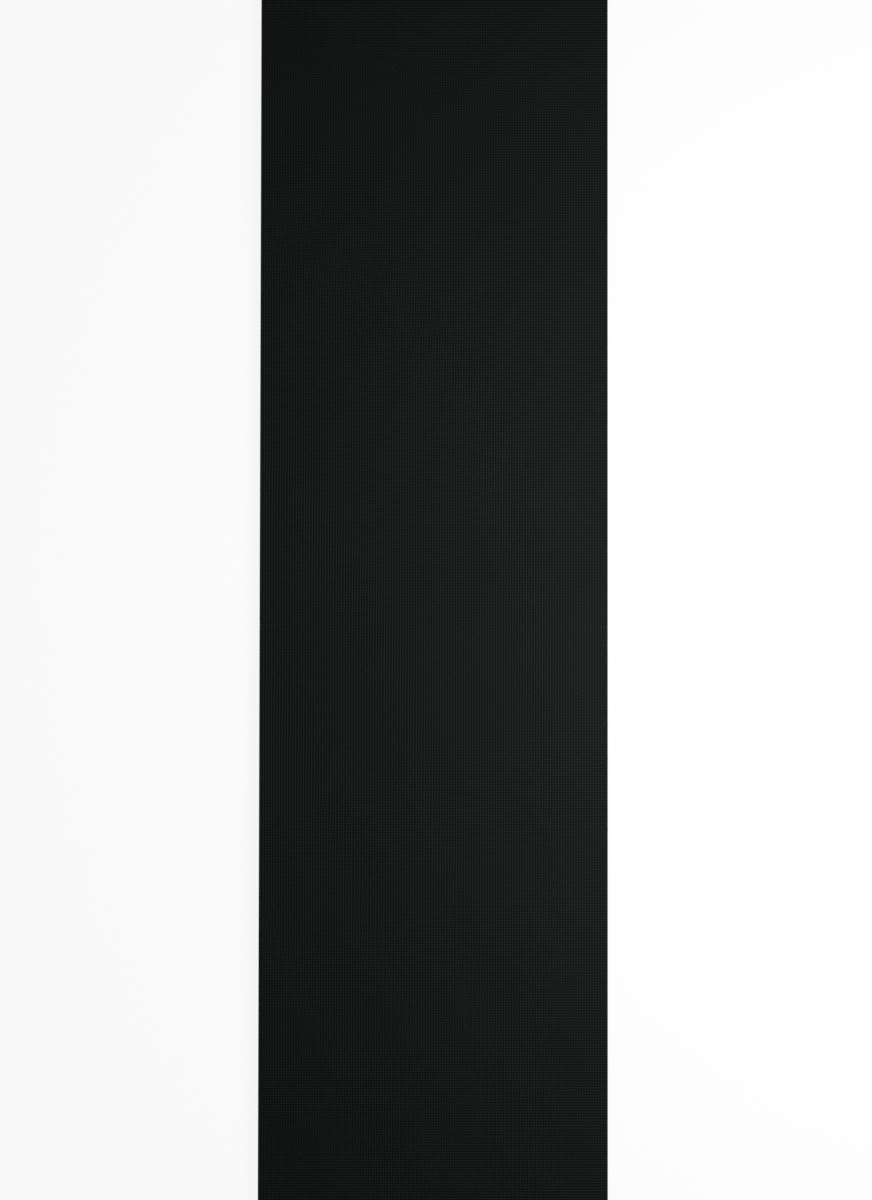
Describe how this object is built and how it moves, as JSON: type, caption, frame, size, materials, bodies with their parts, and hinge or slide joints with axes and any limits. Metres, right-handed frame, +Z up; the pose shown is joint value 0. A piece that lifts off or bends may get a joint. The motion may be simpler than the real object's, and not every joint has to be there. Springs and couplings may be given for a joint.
{
  "type": "tire traction mat",
  "caption": "Flat rectangular rubber mat with a fine moulded waffle tread over woven plies, laid under a driven wheel to give it grip on snow, ice or mud.",
  "frame": {"origin": "middle of the underside, on the ground", "axes": "+Y along the mat, the way the wheel rolls; +X across the mat; +Z up, out of the tread"},
  "size_m": [0.26, 0.9, 0.008],
  "materials": {
    "tread_rubber": "matt black vulcanised rubber, moulded in a fine waffle",
    "skim_rubber": "smooth black bonding rubber, seen only as a thin line at the cut edges",
    "ply_fabric": "woven cord fabric filled with rubber, seen only at the cut edges",
    "ground_rubber": "matt black vulcanised rubber with a shallow cloth impression"
  },
  "bodies": {
    "root": {"tread_cover": "tread_rubber", "upper_skim": "skim_rubber", "upper_ply": "ply_fabric", "middle_skim": "skim_rubber", "lower_ply": "ply_fabric", "lower_skim": "skim_rubber", "ground_cover": "ground_rubber"}
  },
  "joints": []
}
